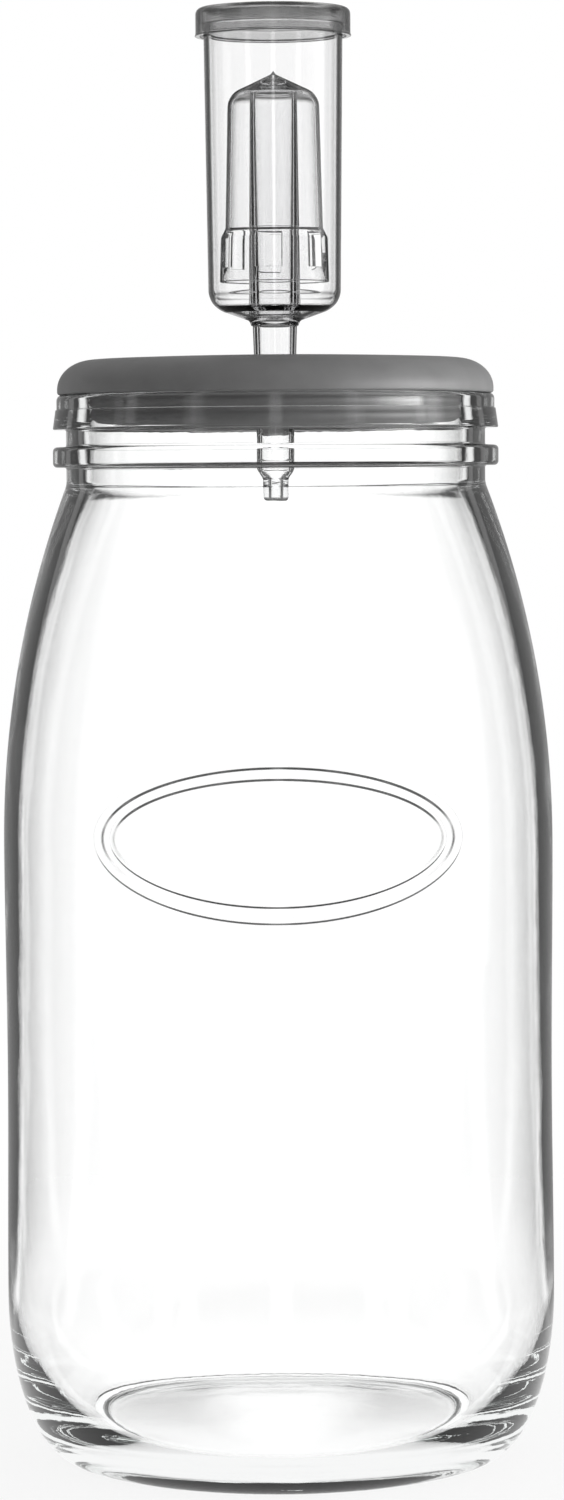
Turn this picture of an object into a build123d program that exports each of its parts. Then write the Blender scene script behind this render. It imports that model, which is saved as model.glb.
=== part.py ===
# Glass fermentation jar with a silicone push-in lid and a three-piece airlock.
# Millimetres, +Z up, origin at the centre of the base, front of the jar towards -Y.
# Every piece is round about the Z axis, so each is a half section turned about it.
# In a half section the first number of a point is a radius and the second a height.
from build123d import *
from math import hypot, radians, sin
import os

os.makedirs("parts", exist_ok=True)

# Jar, outside
jar_height = 272.2
jar_radius = 70.2
waist_depth = 0.4
heel_height = 42.0
shoulder_height = 158.0
bearing_radius = 53.0
bearing_width = 3.6
bearing_round = 1.0
push_up = 4.0
push_up_edge = 1.6
push_up_slope = 2.0

# Jar, wall
floor_thickness = 3.4
floor_crown = 1.8
floor_radius = 45.0
inner_heel_height = 44.0
lower_wall = 2.6
waist_wall = 2.8
upper_wall = 3.6
mouth_radius = 47.6
mouth_depth = 23.0
mouth_round = 1.2

# Jar, stacked rim, from the top down
rim_radius = 55.8
rim_height = 3.8
rim_step = 0.3
rim_round = 1.4
bead_radius = 56.8
bead_height = 5.0
bead_round = 0.4
recess_radius = 53.4
recess_height = 4.4
ring_radius = 56.8
ring_height = 5.2
ring_round = 1.1
neck_radius = 53.4
neck_height = 4.4
neck_blend = 5.0

# Jar, raised oval border on the front, plain inside
panel_height = 163.0
panel_half_width = 45.0
panel_half_height = 20.0
panel_border = 2.2
panel_gap = 1.8
panel_line = 1.0
panel_relief = 0.6
panel_root = 1.0

# Lid
flange_radius = 55.6
flange_lip = 1.4
flange_lip_round = 0.8
flange_edge_width = 9.1
flange_edge_height = 7.5
lid_crown = 0.9
lid_panel = 4.6
plug_depth = 8.8
plug_wall = 3.4
plug_clearance = 0.08
plug_lead = 0.9
plug_corner = 1.5
seal_rib_depth = 0.7
seal_rib_height = 2.6
seal_rib_count = 2
boss_radius = 9.6
boss_depth = 6.4

# Airlock body, stem
stem_stand = 7.5
stem_length = 36.5
stem_taper_length = 29.5
stem_top_radius = 5.65
stem_end_radius = 4.7
stem_bore_radius = 3.4
stem_clearance = 0.05
tip_cone = 2.4
tip_length = 5.0
tip_radius = 3.15
tip_bore_radius = 1.2
tip_round = 0.7

# Airlock body, chamber
collar_radius = 6.5
collar_inset = 0.5
collar_height = 1.3
floor_cone_radius = 14.4
floor_cone_height = 2.8
chamber_corner_height = 3.0
chamber_bottom_radius = 16.85
chamber_top_radius = 17.65
chamber_height = 69.0
chamber_wall = 1.3
chamber_floor = 1.5
chamber_round = 1.2
chamber_bead_radius = 18.4
chamber_bead_height = 2.4

# Airlock body, riser tube
riser_height = 57.0
riser_top_radius = 5.95
riser_bottom_radius = 6.6
riser_bore_radius = 4.8
riser_root_round = 0.6

# Airlock bell
bell_height = 52.9
bell_wall = 1.2
bell_top_radius = 11.6
bell_cone_drop = 5.5
bell_shoulder_round = 3.0
bell_step_radius = 12.4
bell_step_height = 2.4
bell_skirt_top_radius = 13.6
bell_skirt_radius = 13.9
bell_skirt_height = 11.2
bell_nub_radius = 0.6
bell_nub_height = 0.7
bell_seat_clearance = 0.05
window_count = 6
window_angle = 28.0
window_turn = -6.0
window_sill = 3.6
window_height = 8.7

# Airlock cap
cap_height = 7.2
cap_wall = 1.2
cap_round = 1.6
cap_lip = 0.25
cap_lip_height = 0.7
cap_grip = 2.8
cap_seat_width = 1.2
cap_clearance = 0.08
vent_count = 8
vent_radius = 0.6
vent_circle_radius = 9.0

# Length by which a cutting shape runs past what it cuts
overrun = 5.0

# Radii and heights worked out from the sizes above
waist_radius = jar_radius - waist_depth
waist_height = (heel_height + shoulder_height) / 2
bearing_inner_radius = bearing_radius - bearing_width
bead_top = jar_height - rim_height
bead_bottom = bead_top - bead_height
ring_top = bead_bottom - recess_height
ring_bottom = ring_top - ring_height
neck_bottom = ring_bottom - neck_height
floor_centre = push_up + floor_thickness
floor_edge = floor_centre - floor_crown
lip_top = jar_height + flange_lip
lid_edge = lip_top + flange_edge_height
lid_top = lid_edge + lid_crown
lid_ceiling = lid_edge - lid_panel
plug_bottom = jar_height - plug_depth
boss_bottom = lid_ceiling - boss_depth
stem_top = lid_top + stem_stand
stem_bottom = stem_top - stem_length
tip_top = stem_bottom - tip_cone
tip_bottom = tip_top - tip_length
cone_bottom = stem_top + collar_height
cone_top = cone_bottom + floor_cone_height
corner_top = cone_top + chamber_corner_height
chamber_top = corner_top + chamber_height
riser_bottom = cone_bottom + chamber_floor
riser_top = riser_bottom + riser_height
cap_bottom = chamber_top - cap_grip
cap_top = cap_bottom + cap_height


def corner(section, radius, height):
    """The corner of a half section that lies nearest to a point."""
    return section.vertices().sort_by_distance((radius, height))[0]


def side_outline(proud):
    """The jar's side from heel to neck, standing proud of its own surface."""
    heel_top = (jar_radius + proud, heel_height)
    waist = (waist_radius + proud, waist_height)
    shoulder = (jar_radius + proud, shoulder_height)
    Spline(heel_top, waist, shoulder, tangents=((0, 1), (0, 1)))
    TangentArc(shoulder, (neck_radius + proud, neck_bottom), tangent=(0, 1))


def stem_radius(height):
    """Outside radius of the tapered stem at a height."""
    taper_share = min((stem_top - height) / stem_taper_length, 1)
    return stem_top_radius + (stem_end_radius - stem_top_radius) * taper_share


# Oval border: two rings cut out of a thin shell that follows the jar's side
with BuildPart() as panel:
    with BuildSketch(Plane.XZ):
        with BuildLine():
            side_outline(panel_relief)
            side_outline(-panel_root)
            Line((jar_radius - panel_root, heel_height), (jar_radius + panel_relief, heel_height))
            Line((neck_radius - panel_root, neck_bottom), (neck_radius + panel_relief, neck_bottom))
        make_face()
    revolve(axis=Axis.Z)
    with BuildSketch(Plane.XZ):
        with Locations((0, panel_height)):
            inset = 0
            for ring_width in (panel_border, panel_line):
                Ellipse(panel_half_width - inset, panel_half_height - inset)
                inset = inset + ring_width
                Ellipse(panel_half_width - inset, panel_half_height - inset, mode=Mode.SUBTRACT)
                inset = inset + panel_gap
    extrude(amount=jar_radius + overrun, mode=Mode.INTERSECT)

# Jar: one glass wall with a pushed-up base, a round heel and a stacked rim
with BuildPart() as jar:
    with BuildSketch(Plane.XZ) as jar_section:
        with BuildLine():
            push_up_radius = bearing_inner_radius - push_up_slope
            TangentArc((0, push_up), (push_up_radius, push_up_edge), tangent=(1, 0))
            Line((push_up_radius, push_up_edge), (bearing_inner_radius, 0))
            Line((bearing_inner_radius, 0), (bearing_radius, 0))
            EllipticalCenterArc(
                (bearing_radius, heel_height),
                jar_radius - bearing_radius,
                heel_height,
                start_angle=-90,
                arc_size=90,
            )
            side_outline(0)
            Polyline(
                (neck_radius, neck_bottom),
                (neck_radius, ring_bottom),
                (ring_radius, ring_bottom),
                (ring_radius, ring_top),
                (recess_radius, ring_top),
                (recess_radius, bead_bottom),
                (bead_radius, bead_bottom),
                (rim_radius + rim_step, bead_top),
                (rim_radius, bead_top),
                (rim_radius, jar_height),
                (mouth_radius, jar_height),
                (mouth_radius, jar_height - mouth_depth),
            )
            inner_shoulder = (jar_radius - upper_wall, shoulder_height)
            inner_waist = (waist_radius - waist_wall, waist_height)
            inner_heel = (jar_radius - lower_wall, inner_heel_height)
            TangentArc(inner_shoulder, (mouth_radius, jar_height - mouth_depth), tangent=(0, 1))
            Spline(inner_heel, inner_waist, inner_shoulder, tangents=((0, 1), (0, 1)))
            EllipticalCenterArc(
                (floor_radius, inner_heel_height),
                jar_radius - lower_wall - floor_radius,
                inner_heel_height - floor_edge,
                start_angle=-90,
                arc_size=90,
            )
            TangentArc((0, floor_centre), (floor_radius, floor_edge), tangent=(1, 0))
            Line((0, push_up), (0, floor_centre))
        make_face()
        fillet(corner(jar_section, push_up_radius, push_up_edge), radius=bearing_round)
        fillet(corner(jar_section, bearing_inner_radius, 0), radius=bearing_round)
        fillet(corner(jar_section, neck_radius, neck_bottom), radius=neck_blend)
        fillet(corner(jar_section, ring_radius, ring_bottom), radius=ring_round)
        fillet(corner(jar_section, ring_radius, ring_top), radius=ring_round)
        fillet(corner(jar_section, bead_radius, bead_bottom), radius=bead_round)
        fillet(corner(jar_section, rim_radius, jar_height), radius=rim_round)
        fillet(corner(jar_section, mouth_radius, jar_height), radius=mouth_round)
    revolve(axis=Axis.Z)
    add(panel.part)

# Lid: round-edged flange on the rim, hollow ribbed plug in the mouth, boss round the stem
with BuildPart() as lid:
    rib_radius = mouth_radius - plug_clearance
    plug_radius = rib_radius - seal_rib_depth
    plug_inner_radius = plug_radius - plug_wall
    rib_pitch = plug_depth / seal_rib_count
    with BuildSketch(Plane.XZ) as lid_section:
        with BuildLine():
            edge_centre_radius = flange_radius - flange_edge_width
            TangentArc((0, lid_top), (edge_centre_radius, lid_edge), tangent=(1, 0))
            EllipticalCenterArc(
                (edge_centre_radius, lip_top),
                flange_edge_width,
                flange_edge_height,
                start_angle=0,
                arc_size=90,
            )
            Polyline(
                (flange_radius, lip_top),
                (flange_radius, jar_height),
                (plug_radius, jar_height),
                (plug_radius, plug_bottom + plug_lead),
                (plug_radius - plug_lead, plug_bottom),
                (plug_inner_radius, plug_bottom),
                (plug_inner_radius, lid_ceiling),
                (boss_radius, lid_ceiling),
                (boss_radius, boss_bottom),
                (0, boss_bottom),
                (0, lid_top),
            )
        make_face()
        for rib in range(seal_rib_count):
            rib_height = jar_height - rib_pitch * (rib + 0.5)
            rib_low = (plug_radius, rib_height - seal_rib_height / 2)
            rib_high = (plug_radius, rib_height + seal_rib_height / 2)
            with BuildLine():
                ThreePointArc(rib_low, (rib_radius, rib_height), rib_high)
                Line(rib_low, rib_high)
            make_face()
        fillet(corner(lid_section, flange_radius, jar_height), radius=flange_lip_round)
        fillet(corner(lid_section, plug_inner_radius, lid_ceiling), radius=plug_corner)
        fillet(corner(lid_section, boss_radius, lid_ceiling), radius=plug_corner)
        hole_bottom = boss_bottom - overrun
        hole_top = lid_top + overrun
        with BuildLine():
            Polyline(
                (0, hole_bottom),
                (stem_radius(hole_bottom) + stem_clearance, hole_bottom),
                (stem_radius(hole_top) + stem_clearance, hole_top),
                (0, hole_top),
                close=True,
            )
        make_face(mode=Mode.SUBTRACT)
    revolve(axis=Axis.Z)

# Airlock body: stem, conical floor, chamber and riser tube moulded as one piece
with BuildPart() as airlock_body:
    chamber_floor_edge = cone_top + chamber_floor
    with BuildSketch(Plane.XZ) as body_section:
        with BuildLine():
            Polyline(
                (0, tip_bottom),
                (tip_radius, tip_bottom),
                (tip_radius, tip_top),
                (stem_end_radius, stem_bottom),
                (stem_end_radius, stem_top - stem_taper_length),
                (stem_top_radius, stem_top),
                (collar_radius - collar_inset, stem_top),
                (collar_radius, cone_bottom),
                (floor_cone_radius, cone_top),
                (chamber_bottom_radius, corner_top),
                (chamber_top_radius, chamber_top - chamber_bead_height),
                (chamber_bead_radius, chamber_top - chamber_bead_height),
                (chamber_bead_radius, chamber_top),
                (0, chamber_top),
                close=True,
            )
        make_face()
        with BuildLine():
            Polyline(
                (riser_top_radius, riser_top),
                (riser_bottom_radius, riser_bottom),
                (floor_cone_radius, chamber_floor_edge),
                (chamber_bottom_radius - chamber_wall, corner_top),
                (chamber_top_radius - chamber_wall, chamber_top),
                (chamber_top_radius - chamber_wall, chamber_top + overrun),
                (0, chamber_top + overrun),
                (0, riser_top),
                close=True,
            )
        make_face(mode=Mode.SUBTRACT)
        with BuildLine():
            Polyline(
                (0, tip_bottom - overrun),
                (tip_bore_radius, tip_bottom - overrun),
                (tip_bore_radius, tip_top),
                (stem_bore_radius, stem_bottom),
                (riser_bore_radius, riser_top),
                (riser_bore_radius, riser_top + overrun),
                (0, riser_top + overrun),
                close=True,
            )
        make_face(mode=Mode.SUBTRACT)
        fillet(corner(body_section, tip_radius, tip_bottom), radius=tip_round)
        fillet(corner(body_section, chamber_bottom_radius, corner_top), radius=chamber_round)
        fillet(corner(body_section, riser_bottom_radius, riser_bottom), radius=riser_root_round)
    revolve(axis=Axis.Z)

# Bell: inverted cup whose cone stands on the rim of the riser tube
with BuildPart() as airlock_bell:
    cone_slope = bell_cone_drop / bell_top_radius
    cone_wall = bell_wall * hypot(bell_top_radius, bell_cone_drop) / bell_top_radius
    seat_height = bell_height - cone_wall - cone_slope * riser_top_radius
    bell_bottom = riser_top + bell_seat_clearance - seat_height
    bell_top = bell_bottom + bell_height
    inner_top = bell_top - cone_wall
    inner_radius = bell_top_radius - bell_wall
    skirt_top = bell_bottom + bell_skirt_height
    step_top = skirt_top + bell_step_height
    step_shift = bell_wall / 2
    with BuildSketch(Plane.XZ) as bell_section:
        with BuildLine():
            Polyline(
                (0, bell_top + bell_nub_height),
                (bell_nub_radius, bell_top - cone_slope * bell_nub_radius),
                (bell_top_radius, bell_top - bell_cone_drop),
                (bell_step_radius, step_top),
                (bell_skirt_top_radius, skirt_top),
                (bell_skirt_radius, bell_bottom),
                (bell_skirt_radius - bell_wall, bell_bottom),
                (bell_skirt_top_radius - bell_wall, skirt_top - step_shift),
                (bell_step_radius - bell_wall, step_top - step_shift),
                (inner_radius, inner_top - cone_slope * inner_radius),
                (0, inner_top),
                close=True,
            )
        make_face()
        fillet(
            corner(bell_section, bell_top_radius, bell_top - bell_cone_drop),
            radius=bell_shoulder_round,
        )
        fillet(
            corner(bell_section, inner_radius, inner_top - cone_slope * inner_radius),
            radius=bell_shoulder_round - bell_wall,
        )
    revolve(axis=Axis.Z)
    window_width = 2 * bell_skirt_radius * sin(radians(window_angle / 2))
    with BuildSketch(Plane.XY.offset(bell_bottom + window_sill)):
        with PolarLocations(bell_skirt_radius, window_count, start_angle=window_turn - 90):
            Rectangle(2 * overrun, window_width)
    extrude(amount=window_height, mode=Mode.SUBTRACT)

# Cap: shallow lid that snaps over the chamber's bead, with vent holes in its top
with BuildPart() as airlock_cap:
    skirt_inner_radius = chamber_bead_radius + cap_clearance
    cap_radius = skirt_inner_radius + cap_wall
    seat_inner_radius = chamber_bead_radius - cap_seat_width
    cap_ceiling = cap_top - cap_wall
    with BuildSketch(Plane.XZ) as cap_section:
        with BuildLine():
            Polyline(
                (0, cap_top),
                (cap_radius, cap_top),
                (cap_radius, cap_bottom + cap_lip_height),
                (cap_radius + cap_lip, cap_bottom),
                (skirt_inner_radius, cap_bottom),
                (skirt_inner_radius, chamber_top),
                (seat_inner_radius, chamber_top),
                (seat_inner_radius, cap_ceiling),
                (0, cap_ceiling),
                close=True,
            )
        make_face()
        fillet(corner(cap_section, cap_radius, cap_top), radius=cap_round)
    revolve(axis=Axis.Z)
    with Locations((0, 0, cap_top)):
        with PolarLocations(vent_circle_radius, vent_count):
            Hole(vent_radius, depth=cap_wall)

pieces = {
    "jar": jar,
    "lid": lid,
    "airlock_body": airlock_body,
    "airlock_bell": airlock_bell,
    "airlock_cap": airlock_cap,
}
for name, piece in pieces.items():
    piece.part.label = name
    export_step(piece.part, f"parts/{name}.step")
    print(name, "volume", round(piece.part.volume), "cubic mm")
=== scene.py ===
# %% [markdown]
# # A glass fermentation jar with an airlock
# This lesson dresses a measured model of a three-litre fermentation jar: a clear pressed glass jar, a
# grey silicone lid pushed into its mouth, and a clear three-piece airlock standing in the lid. The model
# itself arrives as a fixed frame in metres, with every piece at its real size and place. Nothing here
# moves that frame. New, smoother pieces are turned around the same axis, take the same sizes, and stand
# in for the plain ones.

# %% Load the measured frame
from math import asin, cos, degrees, hypot, pi, radians, sin, sqrt

import bmesh
import bpy
from mathutils import Matrix, Vector


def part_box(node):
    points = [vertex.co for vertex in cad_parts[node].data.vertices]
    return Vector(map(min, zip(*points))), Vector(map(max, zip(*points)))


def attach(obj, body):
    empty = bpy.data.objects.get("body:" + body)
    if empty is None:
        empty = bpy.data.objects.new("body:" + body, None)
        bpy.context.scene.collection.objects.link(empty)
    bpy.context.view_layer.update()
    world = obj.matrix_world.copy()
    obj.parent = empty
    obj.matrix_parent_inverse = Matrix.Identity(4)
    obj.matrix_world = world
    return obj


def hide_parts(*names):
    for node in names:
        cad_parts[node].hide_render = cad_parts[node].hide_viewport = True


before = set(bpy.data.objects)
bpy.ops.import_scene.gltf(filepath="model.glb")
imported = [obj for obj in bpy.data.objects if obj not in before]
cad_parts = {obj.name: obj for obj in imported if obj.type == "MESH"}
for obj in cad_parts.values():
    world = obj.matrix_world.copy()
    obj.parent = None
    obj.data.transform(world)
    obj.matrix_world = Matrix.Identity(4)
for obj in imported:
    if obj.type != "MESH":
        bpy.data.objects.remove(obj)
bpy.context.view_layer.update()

# %% [markdown]
# ## The camera
# The photograph looks almost straight at the neck of the jar from a little over a metre away, and
# slightly down. Its upright and level lines lean by less than half a degree, so the camera is rolled by
# that much. A long lens gives the flat look of a catalogue picture. The jar's real width, its width in
# pixels and the distance fix the focal length in pixels, and the lens follows from that.

# %% Place the camera
MM = 0.001
PHOTO_HEIGHT = 1500
CAMERA_SIDE = 1.1 * MM
CAMERA_DISTANCE = 1240 * MM
CAMERA_HEIGHT = 251.7 * MM
FOCAL_PIXELS = 4850
PITCH = radians(3.25)
ROLL = radians(0.38)

camera_data = bpy.data.cameras.new("camera")
camera_data.lens = camera_data.sensor_width * FOCAL_PIXELS / PHOTO_HEIGHT
camera = bpy.data.objects.new("camera", camera_data)
bpy.context.scene.collection.objects.link(camera)
stand = Matrix.Translation((CAMERA_SIDE, -CAMERA_DISTANCE, CAMERA_HEIGHT))
camera.matrix_world = stand @ Matrix.Rotation(pi / 2 - PITCH, 4, "X") @ Matrix.Rotation(-ROLL, 4, "Z")
bpy.context.scene.camera = camera
bpy.context.scene.view_settings.view_transform = "Standard"
print("lens, mm:", round(camera_data.lens, 1))

# %% [markdown]
# ## Turning a piece
# Every piece of this object is round about one axis, so each is made the way a lathe makes it. A half
# outline is drawn as a few points in millimetres, its corners are rounded with a vertex bevel, and the
# wire is spun through a full turn. The first number of a point is its radius and the second its height. A
# third number, where there is one, says how far the corner is cut back along both of its sides. Beside
# each rounding a support point keeps the flat next to it flat when the mesh is shaded smooth, because
# clear glass shows every wrong normal at once.

# %% Helpers that turn an outline into a solid
SUPPORT = 0.15
CORNER_SEGMENTS = 5


def arc(centre, radius_across, radius_up, start, end, steps):
    """Points on a round or oval arc, angles in degrees from the outward direction."""
    points = []
    for i in range(steps + 1):
        angle = radians(start + (end - start) * i / steps)
        points.append((centre[0] + radius_across * cos(angle), centre[1] + radius_up * sin(angle)))
    return points


def cut_back(point):
    """How far the corner at a point is cut back, 0 where it stays sharp."""
    return point[2] if len(point) == 3 else 0


def support_point(point, neighbour):
    """A point just past a rounded corner on the way to its neighbour, if there is room for one."""
    length = hypot(neighbour[0] - point[0], neighbour[1] - point[1])
    reach = cut_back(point) + SUPPORT
    if length - cut_back(neighbour) - reach < SUPPORT:
        return []
    share = reach / length
    across = point[0] + (neighbour[0] - point[0]) * share
    up = point[1] + (neighbour[1] - point[1]) * share
    return [(across, up)]


def supported(outline, closed):
    """The outline with support points on both sides of every rounded corner."""
    points = []
    for i, point in enumerate(outline):
        before = outline[i - 1] if closed or i else point
        after = outline[(i + 1) % len(outline)]
        rounded = cut_back(point) > 0
        points += support_point(point, before) if rounded else []
        points.append(point)
        points += support_point(point, after) if rounded else []
    return points


def turned(outline, turns, closed=True):
    """A bmesh turned about the Z axis from an outline. An open outline starts and ends on the axis."""
    points = supported(outline, closed)
    bm = bmesh.new()
    verts = [bm.verts.new((point[0] * MM, 0, point[1] * MM)) for point in points]
    ends = verts[1:] + verts[:1] if closed else verts[1:]
    for first, second in zip(verts, ends):
        bm.edges.new((first, second))
    for vert, point in zip(verts, points):
        if cut_back(point) > 0:
            bmesh.ops.bevel(
                bm,
                geom=[vert],
                offset=cut_back(point) * MM,
                affect="VERTICES",
                segments=CORNER_SEGMENTS,
                profile=0.5,
                material=-1,
            )
    wire = bm.verts[:] + bm.edges[:]
    bmesh.ops.spin(bm, geom=wire, cent=(0, 0, 0), axis=(0, 0, 1), angle=2 * pi, steps=turns, use_merge=True)
    bmesh.ops.remove_doubles(bm, verts=bm.verts, dist=MM / 1000)
    bmesh.ops.recalc_face_normals(bm, faces=bm.faces)
    return bm


def finished(name, bm, material):
    """Makes an object of a bmesh, shaded smooth, and says how large it is."""
    open_edges = sum(1 for edge in bm.edges if len(edge.link_faces) != 2)
    mesh = bpy.data.meshes.new(name)
    bm.to_mesh(mesh)
    bm.free()
    for polygon in mesh.polygons:
        polygon.use_smooth = True
    mesh.materials.append(material)
    piece = bpy.data.objects.new(name, mesh)
    bpy.context.scene.collection.objects.link(piece)
    size = [round(v / MM, 2) for v in piece.dimensions]
    print(name, len(mesh.polygons), "faces,", open_edges, "open edges, size in mm:", size)
    return piece


def stands_for(piece, node, body):
    """The piece is shown in place of a node of the frame and moves with its body."""
    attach(piece, body)
    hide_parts(node)


# %% [markdown]
# ## Clear glass
# Pressed glass is clear with a trace of grey, and its surface is never quite flat: the mould leaves a
# slow wave and the fire polish a finer one. The shader bends light by its index of refraction, a very
# weak absorption darkens only long ways through the wall, and two scales of noise on bump nodes give the
# waves. The same helper makes the clear plastic of the airlock later on, with other numbers.

# %% Helpers for materials
FINER = 6


def new_material(name):
    """An empty node material with its nodes, links, shader and output."""
    material = bpy.data.materials.new(name)
    material.use_nodes = True
    nodes, links = material.node_tree.nodes, material.node_tree.links
    nodes.clear()
    output = nodes.new("ShaderNodeOutputMaterial")
    shader = nodes.new("ShaderNodeBsdfPrincipled")
    links.new(shader.outputs["BSDF"], output.inputs["Surface"])
    return material, nodes, links, shader, output


def noise(nodes, links, coordinates, scale, detail):
    """A noise texture that reads the coordinates it is given."""
    texture = nodes.new("ShaderNodeTexNoise")
    texture.inputs["Scale"].default_value = scale
    texture.inputs["Detail"].default_value = detail
    links.new(coordinates, texture.inputs["Vector"])
    return texture.outputs["Fac"]


def bump(nodes, links, height, strength, distance, normal=None):
    """A bump node that reads a height, over another bump if one is given."""
    node = nodes.new("ShaderNodeBump")
    node.inputs["Strength"].default_value = strength
    node.inputs["Distance"].default_value = distance
    links.new(height, node.inputs["Height"])
    if normal:
        links.new(normal, node.inputs["Normal"])
    return node.outputs["Normal"]


def absorb(nodes, links, output, colour, density):
    """Lets the inside of a solid take up light, so that long ways through it are darker."""
    volume = nodes.new("ShaderNodeVolumeAbsorption")
    volume.inputs["Color"].default_value = colour
    volume.inputs["Density"].default_value = density
    links.new(volume.outputs["Volume"], output.inputs["Volume"])


def clear_material(name, index, tint, density, wave_scale, wave_height, fine_height):
    """A clear solid with slow and fine waves in its surface and a weak absorption inside."""
    material, nodes, links, shader, output = new_material(name)
    shader.inputs["Base Color"].default_value = (1, 1, 1, 1)
    shader.inputs["Roughness"].default_value = 0
    shader.inputs["IOR"].default_value = index
    shader.inputs["Transmission Weight"].default_value = 1
    place = nodes.new("ShaderNodeTexCoord").outputs["Object"]
    slow_waves = noise(nodes, links, place, wave_scale, detail=1)
    fine_waves = noise(nodes, links, place, wave_scale * FINER, detail=2)
    slow = bump(nodes, links, slow_waves, 1, wave_height)
    fine = bump(nodes, links, fine_waves, 1, fine_height, slow)
    links.new(fine, shader.inputs["Normal"])
    absorb(nodes, links, output, tint, density)
    print(name, "bends light by an index of", index)
    return material


# %% Glass
glass = clear_material(
    "pressed glass",
    index=1.5,
    tint=(0.9, 0.93, 0.92, 1),
    density=12,
    wave_scale=40,
    wave_height=0.15 * MM,
    fine_height=0.01 * MM,
)

# %% [markdown]
# ## The jar
# The jar's outside is a quarter oval at the heel, an almost straight side with a very slight waist, and
# one long arc over the shoulder to the neck. Above the neck stand a ring, a recess, a bead and the rim,
# which the mould leaves with tight roundings. The inside follows at the distance of the wall, which is
# thickest at the shoulder, and the base is pushed up in the middle so that the jar stands on a ring. A
# spline could do this, but an oval and two arcs say the same with a few sizes that can be measured on a
# jar.

# %% Sizes of the jar
jar_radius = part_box("jar")[1].x / MM
jar_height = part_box("jar")[1].z / MM
waist_depth = 0.4
heel_height = 42
shoulder_height = 158
bearing_outside, bearing_inside = 53, 49.4
push_up_radius, push_up_edge, push_up_centre = 47.4, 1.6, 4

rim_radius, rim_height, rim_step = 55.8, 3.8, 0.3
bead_radius, bead_height = 56.8, 5
ring_radius, ring_height = 56.8, 5.2
neck_radius, neck_height = 53.4, 4.4
recess_height = 4.4
bead_top = jar_height - rim_height
bead_bottom = bead_top - bead_height
ring_top = bead_bottom - recess_height
ring_bottom = ring_top - ring_height
neck_bottom = ring_bottom - neck_height

mouth_radius, mouth_depth = 47.6, 23
lower_wall, upper_wall = 2.6, 3.6
inner_heel_height = 44
floor_radius, floor_edge, floor_centre = 45, 5.6, 7.4
mouth_bottom = jar_height - mouth_depth
inner_side = jar_radius - upper_wall
inner_heel = jar_radius - lower_wall
print("jar radius and height, mm:", round(jar_radius, 2), round(jar_height, 2))

# %% Helpers for the long curves
ARC_STEPS = 32
INNER_SIDE_STEPS = 24
DOME_STEPS = 12


def arc_radius(across, up):
    """Radius of the arc that starts straight up and comes inwards by one length as it rises by the other."""
    return (across * across + up * up) / (2 * across)


def side_wave(low_radius, high_radius, depth, low, high, steps):
    """Points up a side that draws in by a depth halfway and runs straight up at both ends."""
    points = []
    for i in range(1, steps):
        share = i / steps
        radius = low_radius + (high_radius - low_radius) * (1 - cos(pi * share)) / 2
        points.append((radius - depth * (1 - cos(2 * pi * share)) / 2, low + (high - low) * share))
    return points


def shoulder(radius, top_radius, top_height):
    """Points on the arc that starts straight up at the shoulder's height and ends at the neck."""
    up = top_height - shoulder_height
    curve = arc_radius(radius - top_radius, up)
    return arc((radius - curve, shoulder_height), curve, curve, 0, degrees(asin(up / curve)), ARC_STEPS)


def dome(centre_height, edge_radius, edge_height):
    """Points on a shallow dome from the axis outwards."""
    points = []
    for i in range(DOME_STEPS + 1):
        share = i / DOME_STEPS
        points.append((edge_radius * share, centre_height + (edge_height - centre_height) * share**2))
    return points


# %% Outline of the jar
heel_width = jar_radius - bearing_outside
outside = dome(push_up_centre, push_up_radius, push_up_edge)[:-1]
outside += [(push_up_radius, push_up_edge, 0.4), (bearing_inside, 0, 0.5)]
outside += arc((bearing_outside, heel_height), heel_width, heel_height, -90, 0, ARC_STEPS)
outside += side_wave(jar_radius, jar_radius, waist_depth, heel_height, shoulder_height, ARC_STEPS)
outside += shoulder(jar_radius, neck_radius, neck_bottom)[:-1]

rim = [
    (neck_radius, neck_bottom, 0.9),
    (neck_radius, ring_bottom, 0.5),
    (ring_radius, ring_bottom, 1.1),
    (ring_radius, ring_top, 1.1),
    (neck_radius, ring_top, 0.5),
    (neck_radius, bead_bottom, 0.5),
    (bead_radius, bead_bottom, 0.4),
    (rim_radius + rim_step, bead_top, 0.1),
    (rim_radius, bead_top, 0.1),
    (rim_radius, jar_height, 1.4),
    (mouth_radius, jar_height, 1.2),
]

inner_heel_width = inner_heel - floor_radius
inner_heel_rise = inner_heel_height - floor_edge
inner_wave = side_wave(inner_heel, inner_side, 0, inner_heel_height, shoulder_height, INNER_SIDE_STEPS)
inside = [(mouth_radius, mouth_bottom, 1)]
inside += shoulder(inner_side, mouth_radius, mouth_bottom)[-2::-1]
inside += inner_wave[::-1]
inside += arc((floor_radius, inner_heel_height), inner_heel_width, inner_heel_rise, 0, -90, ARC_STEPS)
inside += dome(floor_centre, floor_radius, floor_edge)[-2::-1]
jar_outline = outside + rim + inside
print("points in the jar's outline:", len(jar_outline))

# %% [markdown]
# ## The raised oval on the front
# Jars of this kind carry a raised panel on the front of the shoulder. Here it is a plain oval with a
# broad border and a thin line inside it, and nothing within. It is pressed from the same glass, so it
# can't be a separate ring: the faces of that part of the wall are divided finely, put back on the true
# round, and pushed outwards by a smooth ridge that depends on the distance from the oval.

# %% Helpers for the raised oval
oval_height = 163
oval_half_width, oval_half_height = 45, 20
oval_bands = [(0, 2.2), (4.0, 5.0)]
oval_relief = 0.6
ridge_slope = 0.8
oval_margin = 2.5


def outer_radius(height):
    """Radius of the jar's outside between the heel and the neck."""
    if height < shoulder_height:
        share = (height - heel_height) / (shoulder_height - heel_height)
        return jar_radius - waist_depth * (1 - cos(2 * pi * share)) / 2
    curve = arc_radius(jar_radius - neck_radius, neck_bottom - shoulder_height)
    return jar_radius - curve + sqrt(curve**2 - (height - shoulder_height) ** 2)


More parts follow.
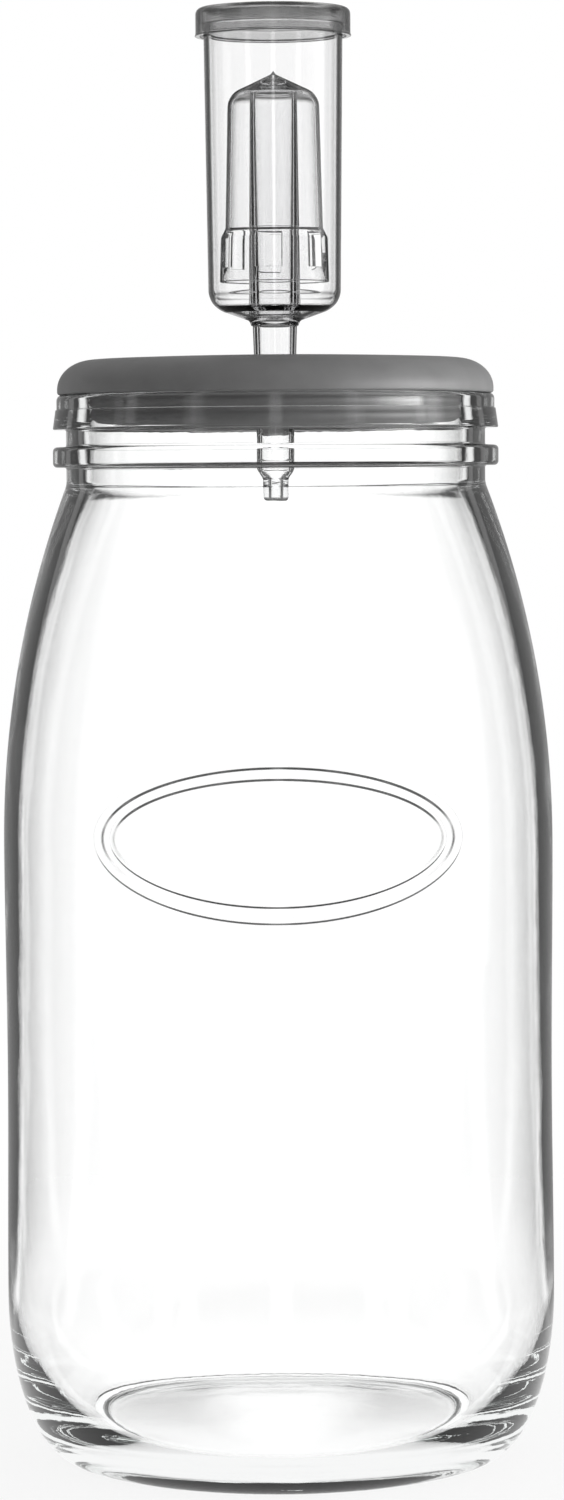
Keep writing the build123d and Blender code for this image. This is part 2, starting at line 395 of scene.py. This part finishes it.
def smooth_step(value):
    """Rises smoothly from 0 to 1 as the value does."""
    value = min(max(value, 0), 1)
    return value * value * (3 - 2 * value)


def inward_distance(across, up):
    """Distance from the oval's outer side to a place on the front, counted inwards."""
    ratio = max(hypot(across / oval_half_width, up / oval_half_height), 0.01)
    steepness = max(hypot(across / oval_half_width**2, up / oval_half_height**2), 0.001)
    return ratio * (1 - ratio) / steepness


def relief(across, up):
    """How far the wall stands out at a place on the front."""
    inward = inward_distance(across, up)
    height = 0
    for start, end in oval_bands:
        from_side = min(inward - start, end - inward)
        height += smooth_step(from_side / ridge_slope + 0.5)
    return oval_relief * height


def on_panel(face):
    """Whether a face of the jar's outside lies on the oval's bands or close to them."""
    centre = face.calc_center_median() / MM
    on_front = centre.y < 0 and hypot(centre.x, centre.y) > jar_radius - upper_wall / 2
    if not on_front or abs(centre.z - oval_height) >= oval_half_height + 2 * oval_margin:
        return False
    inward = inward_distance(centre.x, centre.z - oval_height)
    return -oval_margin < inward < oval_bands[-1][1] + oval_margin


# %% Turn the jar and raise the oval
TURNS = 192
UPRIGHT_CUTS = 13
LEVEL_CUTS = 8


def panel_edges(mesh, level):
    """Edges of the panel's faces, either those that lie level or those that stand upright."""
    found = []
    for edge in mesh.edges:
        rise = abs(edge.verts[0].co.z - edge.verts[1].co.z)
        wanted = rise < MM / 100 if level else rise > MM
        if wanted and any(on_panel(face) for face in edge.link_faces):
            found.append(edge)
    return found


jar_mesh = turned(jar_outline, TURNS, closed=False)
bmesh.ops.subdivide_edges(jar_mesh, edges=panel_edges(jar_mesh, level=False), cuts=UPRIGHT_CUTS)
bmesh.ops.subdivide_edges(jar_mesh, edges=panel_edges(jar_mesh, level=True), cuts=LEVEL_CUTS)
panel_verts = [vert for vert in jar_mesh.verts if any(on_panel(face) for face in vert.link_faces)]
for vert in panel_verts:
    x, y, z = vert.co / MM
    radius = outer_radius(z) + relief(x, z - oval_height)
    vert.co.x, vert.co.y = (v * radius / hypot(x, y) * MM for v in (x, y))
jar_piece = finished("glass_jar", jar_mesh, glass)
stands_for(jar_piece, "jar", "jar")
print("points in the panel:", len(panel_verts))

# %% [markdown]
# ## Grey silicone
# The lid is moulded in mid grey silicone with a satin skin. Its colour is almost even, so the noise that
# varies it is weak, and a very fine bump takes the hard edge off the highlights as the real skin does.

# %% Silicone
silicone_greys = {0.3: 0.12, 0.7: 0.14}
silicone_roughness, silicone_index = 0.48, 1.43
mottle_scale, skin_scale = 120, 3000
skin_depth = 0.02 * MM
silicone, nodes, links, shader, output = new_material("grey silicone")
place = nodes.new("ShaderNodeTexCoord").outputs["Object"]
ramp = nodes.new("ShaderNodeValToRGB")
for stop, (position, grey) in zip(ramp.color_ramp.elements, silicone_greys.items()):
    stop.position = position
    stop.color = (grey, grey, grey, 1)
links.new(noise(nodes, links, place, mottle_scale, detail=4), ramp.inputs["Fac"])
links.new(ramp.outputs["Color"], shader.inputs["Base Color"])
shader.inputs["Roughness"].default_value = silicone_roughness
shader.inputs["IOR"].default_value = silicone_index
skin = bump(nodes, links, noise(nodes, links, place, skin_scale, detail=3), 0.3, skin_depth)
links.new(skin, shader.inputs["Normal"])
print("nodes of the silicone:", len(nodes))

# %% [markdown]
# ## The lid
# The lid is a mushroom: a round-edged flange lies on the rim, a hollow plug with two soft ribs goes down
# into the mouth, and a boss in the middle grips the airlock's tapered stem. One closed outline holds all
# of it, with the stem's hole on its inner side. The hole has to fit the stem, so the stem's taper is
# settled here.

# %% Sizes of the lid and of the stem in it
lid_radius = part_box("lid")[1].x / MM
lid_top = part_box("lid")[1].z / MM
lid_crown = 0.9
edge_across, edge_up = 9.1, 7.5
crown_start, crown_step = 7, 3
lip_top = lid_top - lid_crown - edge_up
edge_radius = lid_radius - edge_across
lid_ceiling = jar_height + 4.3

plug_depth, plug_wall, plug_lead = 8.8, 3.4, 0.9
plug_clearance = 0.08
rib_depth, rib_half_height, rib_count = 0.7, 1.3, 2
plug_radius = mouth_radius - plug_clearance - rib_depth
plug_inside = plug_radius - plug_wall
plug_bottom = jar_height - plug_depth
boss_radius, boss_depth = 9.6, 6.4
boss_bottom = lid_ceiling - boss_depth

stem_top_radius, stem_end_radius = 5.65, 4.7
stem_taper_length, stem_clearance = 29.5, 0.05
stem_top = jar_height + 17.3
print("plug radius and depth, mm:", round(plug_radius, 2), plug_depth)

# %% Turn the lid
RIB_STEPS = 8
LID_EDGE_STEPS = 24


def hole_radius(height):
    """Radius at a height of the lid's hole, which follows the airlock's tapered stem."""
    slope = (stem_top_radius - stem_end_radius) / stem_taper_length
    return stem_top_radius - slope * (stem_top - height) + stem_clearance


def rib(height):
    """Points on one soft sealing rib, from its lower edge to its upper one."""
    curve = arc_radius(rib_depth, rib_half_height)
    half_angle = degrees(asin(rib_half_height / curve))
    centre = (plug_radius + rib_depth - curve, height)
    return arc(centre, curve, curve, -half_angle, half_angle, RIB_STEPS)


lid_outline = [(hole_radius(lid_top), lid_top, 0.4)]
for radius in range(crown_start, int(edge_radius), crown_step):
    lid_outline.append((radius, lid_top - lid_crown * (radius / edge_radius) ** 2))
lid_outline += arc((edge_radius, lip_top), edge_across, edge_up, 90, 0, LID_EDGE_STEPS)
lid_outline += [(lid_radius, jar_height, 0.7), (plug_radius, jar_height, 0.2)]
for i in range(rib_count):
    lid_outline += rib(jar_height - plug_depth * (i + 0.5) / rib_count)[::-1]
lid_outline += [
    (plug_radius, plug_bottom + plug_lead, 0.2),
    (plug_radius - plug_lead, plug_bottom, 0.3),
    (plug_inside, plug_bottom, 0.4),
    (plug_inside, lid_ceiling, 1.5),
    (boss_radius, lid_ceiling, 1.5),
    (boss_radius, boss_bottom, 0.5),
    (hole_radius(boss_bottom), boss_bottom, 0.3),
]
lid_piece = finished("silicone_lid", turned(lid_outline, TURNS), silicone)
stands_for(lid_piece, "lid", "lid")

# %% [markdown]
# ## Clear polystyrene
# The airlock is injection moulded in crystal polystyrene. It bends light more than glass does and takes
# up more of it, so its thin walls draw grey lines, and the moulding leaves slow waves along the tubes.

# %% Polystyrene
polystyrene = clear_material(
    "clear polystyrene",
    index=1.54,
    tint=(0.8, 0.8, 0.805, 1),
    density=150,
    wave_scale=60,
    wave_height=0.03 * MM,
    fine_height=0.0015 * MM,
)

# %% [markdown]
# ## The airlock body
# Stem, conical floor, chamber and riser tube are one moulding. Gas comes up the bore of the stem and the
# riser, and the chamber round it holds water. The whole section is one closed outline, up the outside
# from the tip to the chamber's bead and back down the inside, over the riser and through the bore. Its
# lines are all straight, with a rounding where the mould has one.

# %% Sizes of the airlock body
body_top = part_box("airlock_body")[1].z / MM
tip_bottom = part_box("airlock_body")[0].z / MM
chamber_bead_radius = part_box("airlock_body")[1].x / MM
chamber_bead_height = 2.4
stem_bottom = stem_top - 36.5
taper_bottom = stem_top - stem_taper_length
tip_top = stem_bottom - 2.4
tip_radius, tip_bore_radius, stem_bore_radius = 3.15, 1.2, 3.4

collar_radius, collar_inset, collar_height = 6.5, 0.5, 1.3
cone_radius, cone_height = 14.4, 2.8
chamber_bottom_radius, chamber_top_radius, chamber_wall = 16.85, 17.65, 1.3
cone_bottom = stem_top + collar_height
cone_top = cone_bottom + cone_height
corner_top = cone_top + 3
plate_at_cone, plate_at_riser = 1.2, 1.4

riser_top = cone_bottom + 58.5
riser_top_radius, riser_bottom_radius, riser_bore_radius = 5.95, 6.6, 4.8
print("height of the chamber, mm:", round(body_top - corner_top, 2))

# %% Turn the airlock body
body_outline = [
    (tip_bore_radius, tip_bottom, 0.25),
    (tip_radius, tip_bottom, 1.0),
    (tip_radius, tip_top, 0.4),
    (stem_end_radius, stem_bottom, 0.4),
    (stem_end_radius, taper_bottom, 0.3),
    (stem_top_radius, stem_top, 0.2),
    (collar_radius - collar_inset, stem_top, 0.2),
    (collar_radius, cone_bottom, 0.4),
    (cone_radius, cone_top, 1.9),
    (chamber_bottom_radius, corner_top, 1.9),
    (chamber_top_radius, body_top - chamber_bead_height, 0.2),
    (chamber_bead_radius, body_top - chamber_bead_height, 0.4),
    (chamber_bead_radius, body_top, 0.4),
    (chamber_top_radius - chamber_wall, body_top, 0.4),
    (chamber_bottom_radius - chamber_wall, corner_top, 0.9),
    (cone_radius, cone_top + plate_at_cone, 0.9),
    (riser_bottom_radius, cone_bottom + plate_at_riser, 0.6),
    (riser_top_radius, riser_top, 0.3),
    (riser_bore_radius, riser_top, 0.3),
    (stem_bore_radius, stem_bottom, 0.3),
    (tip_bore_radius, tip_top, 0.2),
]
body_piece = finished("clear_airlock", turned(body_outline, TURNS), polystyrene)
stands_for(body_piece, "airlock_body", "airlock")

# %% [markdown]
# ## The bell
# An inverted cup stands over the riser and bubbles the gas out through six windows in its skirt. The
# windows have straight edges in the turned mesh: the spin is stepped so that its columns meet the sides
# of every window, the faces of both walls within a window are deleted, and the two open loops are
# bridged.

# %% Sizes of the bell
bell_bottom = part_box("airlock_bell")[0].z / MM
bell_wall = 1.2
nub_radius, nub_top, nub_foot = 0.6, bell_bottom + 53.6, bell_bottom + 52.62
roof_radius, roof_edge = 11.6, bell_bottom + 47.4
ceiling_edge, ceiling_middle = bell_bottom + 46.64, bell_bottom + 51.57
step_radius, step_top = 12.4, bell_bottom + 13.6
inner_step_foot, inner_step_head = bell_bottom + 12.95, bell_bottom + 13.1
skirt_radius, skirt_top_radius, skirt_top = 13.9, 13.6, bell_bottom + 11.2
WINDOWS = 6
window_angle, window_turn = 28, -6
window_low, window_high = bell_bottom + 3.6, bell_bottom + 12.3
skirt_at_sill, skirt_at_window_top = 13.8, 13.05
inner_at_sill, inner_at_window_top, inner_skirt_top_radius = 12.6, 12.4, 12.45
print("height of the bell, mm:", round(nub_top - bell_bottom, 2))

# %% Outline of the bell
bell_outline = [
    (0, nub_top),
    (nub_radius, nub_foot, 0.2),
    (roof_radius, roof_edge, 2.9),
    (step_radius, step_top, 0.3),
    (skirt_at_window_top, window_high),
    (skirt_top_radius, skirt_top, 0.2),
    (skirt_at_sill, window_low),
    (skirt_radius, bell_bottom, 0.3),
    (skirt_radius - bell_wall, bell_bottom, 0.3),
    (inner_at_sill, window_low),
    (inner_skirt_top_radius, window_high - bell_wall, 0.2),
    (inner_at_window_top, window_high),
    (inner_at_window_top, inner_step_foot, 0.5),
    (step_radius - bell_wall, inner_step_head, 0.5),
    (roof_radius - bell_wall, ceiling_edge, 2.1),
    (0, ceiling_middle),
]
print("points in the bell's outline:", len(bell_outline))

# %% Turn the bell and open its windows
BELL_TURNS = 180
window_edge_round = 0.1
window_pitch = 360 / WINDOWS


def in_window(face):
    """Whether a face of the bell lies where one of the windows is."""
    centre = face.calc_center_median() / MM
    from_front = -degrees(Vector((0, -1)).angle_signed(centre.xy))
    from_window = (from_front - window_turn + window_pitch / 2) % window_pitch - window_pitch / 2
    return window_low < centre.z < window_high and abs(from_window) < window_angle / 2


def beside_window(edge, window):
    """Whether an open edge belongs to the window of a given number."""
    turn = Matrix.Rotation(radians(window_pitch * window + window_turn), 2)
    middle = turn @ Vector((0, -1))
    return (edge.verts[0].co + edge.verts[1].co).xy.angle(middle) < radians(window_pitch / 2)


bell_mesh = turned(bell_outline, BELL_TURNS, closed=False)
cut = [face for face in bell_mesh.faces if in_window(face)]
bmesh.ops.delete(bell_mesh, geom=cut, context="FACES")
open_edges = [edge for edge in bell_mesh.edges if len(edge.link_faces) == 1]
print("faces cut:", len(cut), "open edges:", len(open_edges))
for i in range(WINDOWS):
    bmesh.ops.bridge_loops(bell_mesh, edges=[edge for edge in open_edges if beside_window(edge, i)])
bmesh.ops.bevel(
    bell_mesh,
    geom=open_edges,
    offset=window_edge_round * MM,
    affect="EDGES",
    segments=2,
    profile=0.5,
    material=-1,
)
bmesh.ops.recalc_face_normals(bell_mesh, faces=bell_mesh.faces)
bell_piece = finished("clear_bell", bell_mesh, polystyrene)
stands_for(bell_piece, "airlock_bell", "bell")

# %% [markdown]
# ## Translucent polyethylene
# The cap is softer and milky: light goes through it, but scattered. A rough surface on a solid that takes
# up some of the light does that, and a fine ripple round the axis stands for the brushed look that the
# mould leaves.

# %% Polyethylene
cap_white = (0.68, 0.68, 0.68, 1)
cap_roughness, cap_index = 0.14, 1.5
cap_tint, cap_density = (0.8, 0.8, 0.8, 1), 300
ripple_scale, ripple_squeeze = 120, 40
ripple_depth = 0.05 * MM
polyethylene, nodes, links, shader, output = new_material("translucent polyethylene")
shader.inputs["Base Color"].default_value = cap_white
shader.inputs["Roughness"].default_value = cap_roughness
shader.inputs["IOR"].default_value = cap_index
shader.inputs["Transmission Weight"].default_value = 1
place = nodes.new("ShaderNodeTexCoord").outputs["Object"]
squeezed = nodes.new("ShaderNodeMapping")
squeezed.inputs["Scale"].default_value = (1, 1, ripple_squeeze)
links.new(place, squeezed.inputs["Vector"])
ripples = noise(nodes, links, squeezed.outputs["Vector"], ripple_scale, detail=2)
links.new(bump(nodes, links, ripples, 0.6, ripple_depth), shader.inputs["Normal"])
absorb(nodes, links, output, cap_tint, cap_density)
print("nodes of the polyethylene:", len(nodes))

# %% [markdown]
# ## The cap
# The cap is a shallow lid that snaps over the chamber's bead. Eight small vents let the gas out. They are
# drilled with a boolean, because a hole in a flat disc leaves no shading to spoil.

# %% Turn the cap
cap_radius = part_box("airlock_cap")[1].x / MM
cap_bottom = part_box("airlock_cap")[0].z / MM
cap_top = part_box("airlock_cap")[1].z / MM
cap_wall, cap_clearance = 1.2, 0.08
cap_lip, cap_lip_height = 0.25, 0.7
seat_width = 1.2
cap_bore_radius = chamber_bead_radius + cap_clearance
seat_radius = chamber_bead_radius - seat_width
cap_outline = [
    (0, cap_top),
    (cap_radius - cap_lip, cap_top, 1.6),
    (cap_radius - cap_lip, cap_bottom + cap_lip_height, 0.15),
    (cap_radius, cap_bottom, 0.2),
    (cap_bore_radius, cap_bottom, 0.3),
    (cap_bore_radius, body_top, 0.2),
    (seat_radius, body_top, 0.2),
    (seat_radius, cap_top - cap_wall, 0.5),
    (0, cap_top - cap_wall),
]
cap_piece = finished("milky_cap", turned(cap_outline, TURNS, closed=False), polyethylene)

# %% Drill its vents
VENTS = 8
VENT_SEGMENTS = 24
vent_radius, vent_circle = 0.6 * MM, 9
drill_depth = 5 * MM
sharp_angle = radians(40)
drill_mesh = bmesh.new()
for i in range(VENTS):
    turn = Matrix.Rotation(2 * pi * i / VENTS, 4, "Z")
    bmesh.ops.create_cone(
        drill_mesh,
        cap_ends=True,
        segments=VENT_SEGMENTS,
        radius1=vent_radius,
        radius2=vent_radius,
        depth=drill_depth,
        matrix=turn @ Matrix.Translation((0, -vent_circle * MM, cap_top * MM)),
    )
drill = finished("vent_drill", drill_mesh, polyethylene)
drilling = cap_piece.modifiers.new("vents", "BOOLEAN")
drilling.object = drill
drilling.operation = "DIFFERENCE"
solved = cap_piece.evaluated_get(bpy.context.evaluated_depsgraph_get())
drilled = bpy.data.meshes.new_from_object(solved)
cap_piece.modifiers.clear()
cap_piece.data = drilled
cap_piece.data.set_sharp_from_angle(angle=sharp_angle)
bpy.data.objects.remove(drill)
stands_for(cap_piece, "airlock_cap", "cap")
print("faces of the drilled cap:", len(drilled.polygons))

# %% [markdown]
# ## White room
# Clear things are photographed by what stands behind them. The room is white where the camera looks past
# the jar, and white where it looks straight through, so the middle of the jar is white as well. Every
# surface on the way throws a little light back, and a small gain for each one makes up for it. Higher up
# the room gets darker for light that comes through a wall, which draws the shoulder and the lines of the
# oval. Light that has been thrown back inside a wall comes from a dark studio with eight white panels
# round the jar. Whatever side the camera looks from, the outermost edge of the glass then shows a panel
# and a dark band follows beside it. Mirrored light sees the same studio in a paler grey, and matt
# surfaces see an even one.

# %% Helpers for values worked out in nodes
def linked(links, socket, value):
    """Sets a socket to a number or links another socket to it."""
    if isinstance(value, (int, float)):
        socket.default_value = value
    else:
        links.new(value, socket)


def calculated(nodes, links, operation, first, second):
    """Two values put together by one operation of a math node."""
    node = nodes.new("ShaderNodeMath")
    node.operation = operation
    linked(links, node.inputs[0], first)
    linked(links, node.inputs[1], second)
    return node.outputs[0]


def chosen(nodes, links, choice, otherwise, value):
    """One value where the choice is 0 and another where it is 1."""
    node = nodes.new("ShaderNodeMix")
    linked(links, node.inputs["Factor"], choice)
    linked(links, node.inputs["A"], otherwise)
    linked(links, node.inputs["B"], value)
    return node.outputs["Result"]


def ranged(nodes, links, value, start, end):
    """A value taken smoothly from one range to another."""
    node = nodes.new("ShaderNodeMapRange")
    node.interpolation_type = "SMOOTHSTEP"
    linked(links, node.inputs["Value"], value)
    for name, number in zip(("From Min", "From Max", "To Min", "To Max"), start + end):
        node.inputs[name].default_value = number
    return node.outputs["Result"]


# %% Helpers that tell the rays apart
WHITE = 1
SURFACE_GAIN = 1.045
PANELS = 8
PANEL_HALF_ANGLES = (radians(1.5), radians(6))
EDGE_GREY = 0.01
MIRRORED_GREY = 0.4
EVEN_LIGHT = 0.5


def by_ray(nodes, links, straight, thrown_back, mirrored, scattered):
    """A value for rays that came straight, were thrown back in a wall, were mirrored or were scattered."""
    path = nodes.new("ShaderNodeLightPath")
    bounced = calculated(nodes, links, "GREATER_THAN", path.outputs["Glossy Depth"], 0.5)
    through = calculated(nodes, links, "GREATER_THAN", path.outputs["Transmission Depth"], 0.5)
    bounced_value = chosen(nodes, links, through, mirrored, thrown_back)
    clear_value = chosen(nodes, links, bounced, straight, bounced_value)
    return chosen(nodes, links, path.outputs["Is Diffuse Ray"], clear_value, scattered)


def panels(nodes, links, vector):
    """White towards the middle of each of the studio's panels, and almost black between them."""
    parts = nodes.new("ShaderNodeSeparateXYZ")
    links.new(vector, parts.inputs["Vector"])
    azimuth = calculated(nodes, links, "ARCTAN2", parts.outputs["Y"], parts.outputs["X"])
    from_middle = calculated(nodes, links, "PINGPONG", azimuth, pi / PANELS)
    return ranged(nodes, links, from_middle, PANEL_HALF_ANGLES, (WHITE, EDGE_GREY))


def backlight(nodes, links):
    """White light that makes up for what every surface on its way has thrown back."""
    surfaces = nodes.new("ShaderNodeLightPath").outputs["Transmission Depth"]
    gain = calculated(nodes, links, "POWER", SURFACE_GAIN, surfaces)
    return calculated(nodes, links, "MULTIPLY", WHITE, gain)


# %% World
OVERHEAD_RISE = (0.3, 0.7)
DARKENING_RISE = (0.09, 0.26)
HIGH_GREY = 0.05
CLEAR_BOUNCES, MIRROR_BOUNCES = 32, 8
world = bpy.data.worlds.new("white room")
bpy.context.scene.world = world
world.use_nodes = True
nodes, links = world.node_tree.nodes, world.node_tree.links
outwards = nodes.new("ShaderNodeTexCoord").outputs["Generated"]
direction = nodes.new("ShaderNodeSeparateXYZ")
links.new(outwards, direction.inputs["Vector"])
overhead = ranged(nodes, links, direction.outputs["Z"], OVERHEAD_RISE, (0, WHITE))
studio = calculated(nodes, links, "MAXIMUM", overhead, panels(nodes, links, outwards))
mirrored = calculated(nodes, links, "MAXIMUM", studio, MIRRORED_GREY)
height_fall = ranged(nodes, links, direction.outputs["Z"], DARKENING_RISE, (1, HIGH_GREY))
behind_glass = calculated(nodes, links, "MULTIPLY", backlight(nodes, links), height_fall)
seen_past = nodes.new("ShaderNodeLightPath").outputs["Is Camera Ray"]
backdrop = chosen(nodes, links, seen_past, behind_glass, WHITE)
sky = nodes["Background"]
links.new(by_ray(nodes, links, backdrop, studio, mirrored, EVEN_LIGHT), sky.inputs["Strength"])
sky.inputs["Color"].default_value = (1, 1, 1, 1)
bpy.context.scene.cycles.max_bounces = CLEAR_BOUNCES
bpy.context.scene.cycles.transmission_bounces = CLEAR_BOUNCES
bpy.context.scene.cycles.glossy_bounces = MIRROR_BOUNCES
print("nodes of the world:", len(nodes))

# %% [markdown]
# ## Floor
# The floor is a plain pale sheet. Far from the jar it glows as white as the world, so that no horizon
# shows, and near the jar it is partly matt, so that it keeps a soft shadow. For light thrown back in the
# glass it shows the same panels as the world does, but only away from the jar: close to it the base stays
# clear.

# %% Floor
FLOOR_SIZE = 40
FLOOR_WHITE = 0.9
GLOW_NEAR = 0.85
GLOW_REACH = (0.08, 0.5)
PANEL_REACH = (0.15, 0.4)
STEEP_GREY = 0.95
floor_mesh = bmesh.new()
bmesh.ops.create_grid(floor_mesh, x_segments=1, y_segments=1, size=FLOOR_SIZE / 2)
floor_material = bpy.data.materials.new("pale floor")
floor_material.use_nodes = True
nodes, links = floor_material.node_tree.nodes, floor_material.node_tree.links
nodes.clear()
output = nodes.new("ShaderNodeOutputMaterial")
distance = nodes.new("ShaderNodeVectorMath")
distance.operation = "LENGTH"
place = nodes.new("ShaderNodeTexCoord").outputs["Object"]
links.new(place, distance.inputs[0])
matt = nodes.new("ShaderNodeBsdfDiffuse")
matt.inputs["Color"].default_value = (FLOOR_WHITE, FLOOR_WHITE, FLOOR_WHITE, 1)
glow = nodes.new("ShaderNodeEmission")
far = ranged(nodes, links, distance.outputs["Value"], PANEL_REACH, (0, 1))
studio = chosen(nodes, links, far, STEEP_GREY, panels(nodes, links, place))
mirrored = calculated(nodes, links, "MAXIMUM", studio, MIRRORED_GREY)
strength = by_ray(nodes, links, backlight(nodes, links), studio, mirrored, EVEN_LIGHT)
links.new(strength, glow.inputs["Strength"])
fade = ranged(nodes, links, distance.outputs["Value"], GLOW_REACH, (GLOW_NEAR, 1))
mixed = nodes.new("ShaderNodeMixShader")
links.new(by_ray(nodes, links, fade, 1, 1, 0), mixed.inputs["Fac"])
links.new(matt.outputs["BSDF"], mixed.inputs[1])
links.new(glow.outputs["Emission"], mixed.inputs[2])
links.new(mixed.outputs["Shader"], output.inputs["Surface"])
floor = finished("floor", floor_mesh, floor_material)

# %% [markdown]
# ## Lamps
# The photograph's lid is lit from the right. A strong softbox there would also wash out the glass, so it
# lights only the lid and the floor, and only the lid holds its light back. The neck of the jar mirrors a
# thin strip instead, and a weak fill from the same side reaches everything. The lamps aren't seen by the
# camera or through the glass, and their brightness falls off softly towards their edges, as the cloth of
# a real softbox does.

# %% Helpers for the lamps
LAMP_AIM = Vector((0, 0, 0.25))
LAMP_DISTANCE = 1.0
BRIGHT_LINE = 0.85
END_FADE = 0.3


def soften(lamp):
    """Lets a lamp's light rise across its width, drop at the far side and fade at both ends."""
    lamp.use_nodes = True
    nodes, links = lamp.node_tree.nodes, lamp.node_tree.links
    cloth = nodes.new("ShaderNodeSeparateXYZ")
    links.new(nodes.new("ShaderNodeNewGeometry").outputs["Parametric"], cloth.inputs["Vector"])
    rise_across = ranged(nodes, links, cloth.outputs["X"], (0, BRIGHT_LINE), (0, 1))
    fall_across = ranged(nodes, links, cloth.outputs["X"], (BRIGHT_LINE, 1), (1, 0))
    across = calculated(nodes, links, "MULTIPLY", rise_across, fall_across)
    from_end = calculated(nodes, links, "PINGPONG", cloth.outputs["Y"], 0.5)
    upwards = ranged(nodes, links, from_end, (0, END_FADE), (0, 1))
    links.new(calculated(nodes, links, "MULTIPLY", across, upwards), nodes["Emission"].inputs["Strength"])


def softbox(name, azimuth, width, height, brightness):
    """A rectangular lamp at the height of the neck. An azimuth of 0 is in front of the jar and 90 is to its
    right, and at a brightness of 1 the lamp is as bright as the white room."""
    lamp = bpy.data.lights.new(name, "AREA")
    lamp.shape = "RECTANGLE"
    lamp.size, lamp.size_y = width, height
    lamp.energy = brightness * pi * width * height
    soften(lamp)
    box = bpy.data.objects.new(name, lamp)
    bpy.context.scene.collection.objects.link(box)
    aside = Vector((sin(radians(azimuth)), -cos(radians(azimuth)), 0))
    box.location = LAMP_AIM + aside * LAMP_DISTANCE
    box.rotation_mode = "QUATERNION"
    box.rotation_quaternion = (LAMP_AIM - box.location).to_track_quat("-Z", "Y")
    box.visible_camera = False
    box.visible_transmission = False
    return box


def group(name, pieces):
    """A collection of pieces for a lamp to light or be held back by."""
    collection = bpy.data.collections.new(name)
    for piece in pieces:
        collection.objects.link(piece)
    return collection


# %% Lamps
strong = softbox("right_softbox", azimuth=66, width=1.3, height=0.8, brightness=12)
strong.light_linking.receiver_collection = group("lit by the softbox", (lid_piece, floor))
strong.light_linking.blocker_collection = group("holds the softbox back", (lid_piece,))
strip = softbox("neck_strip", azimuth=62, width=0.75, height=0.24, brightness=8)
strip.light_linking.receiver_collection = group("lit by the strip", (jar_piece,))
softbox("right_fill", azimuth=66, width=1.3, height=0.8, brightness=2)
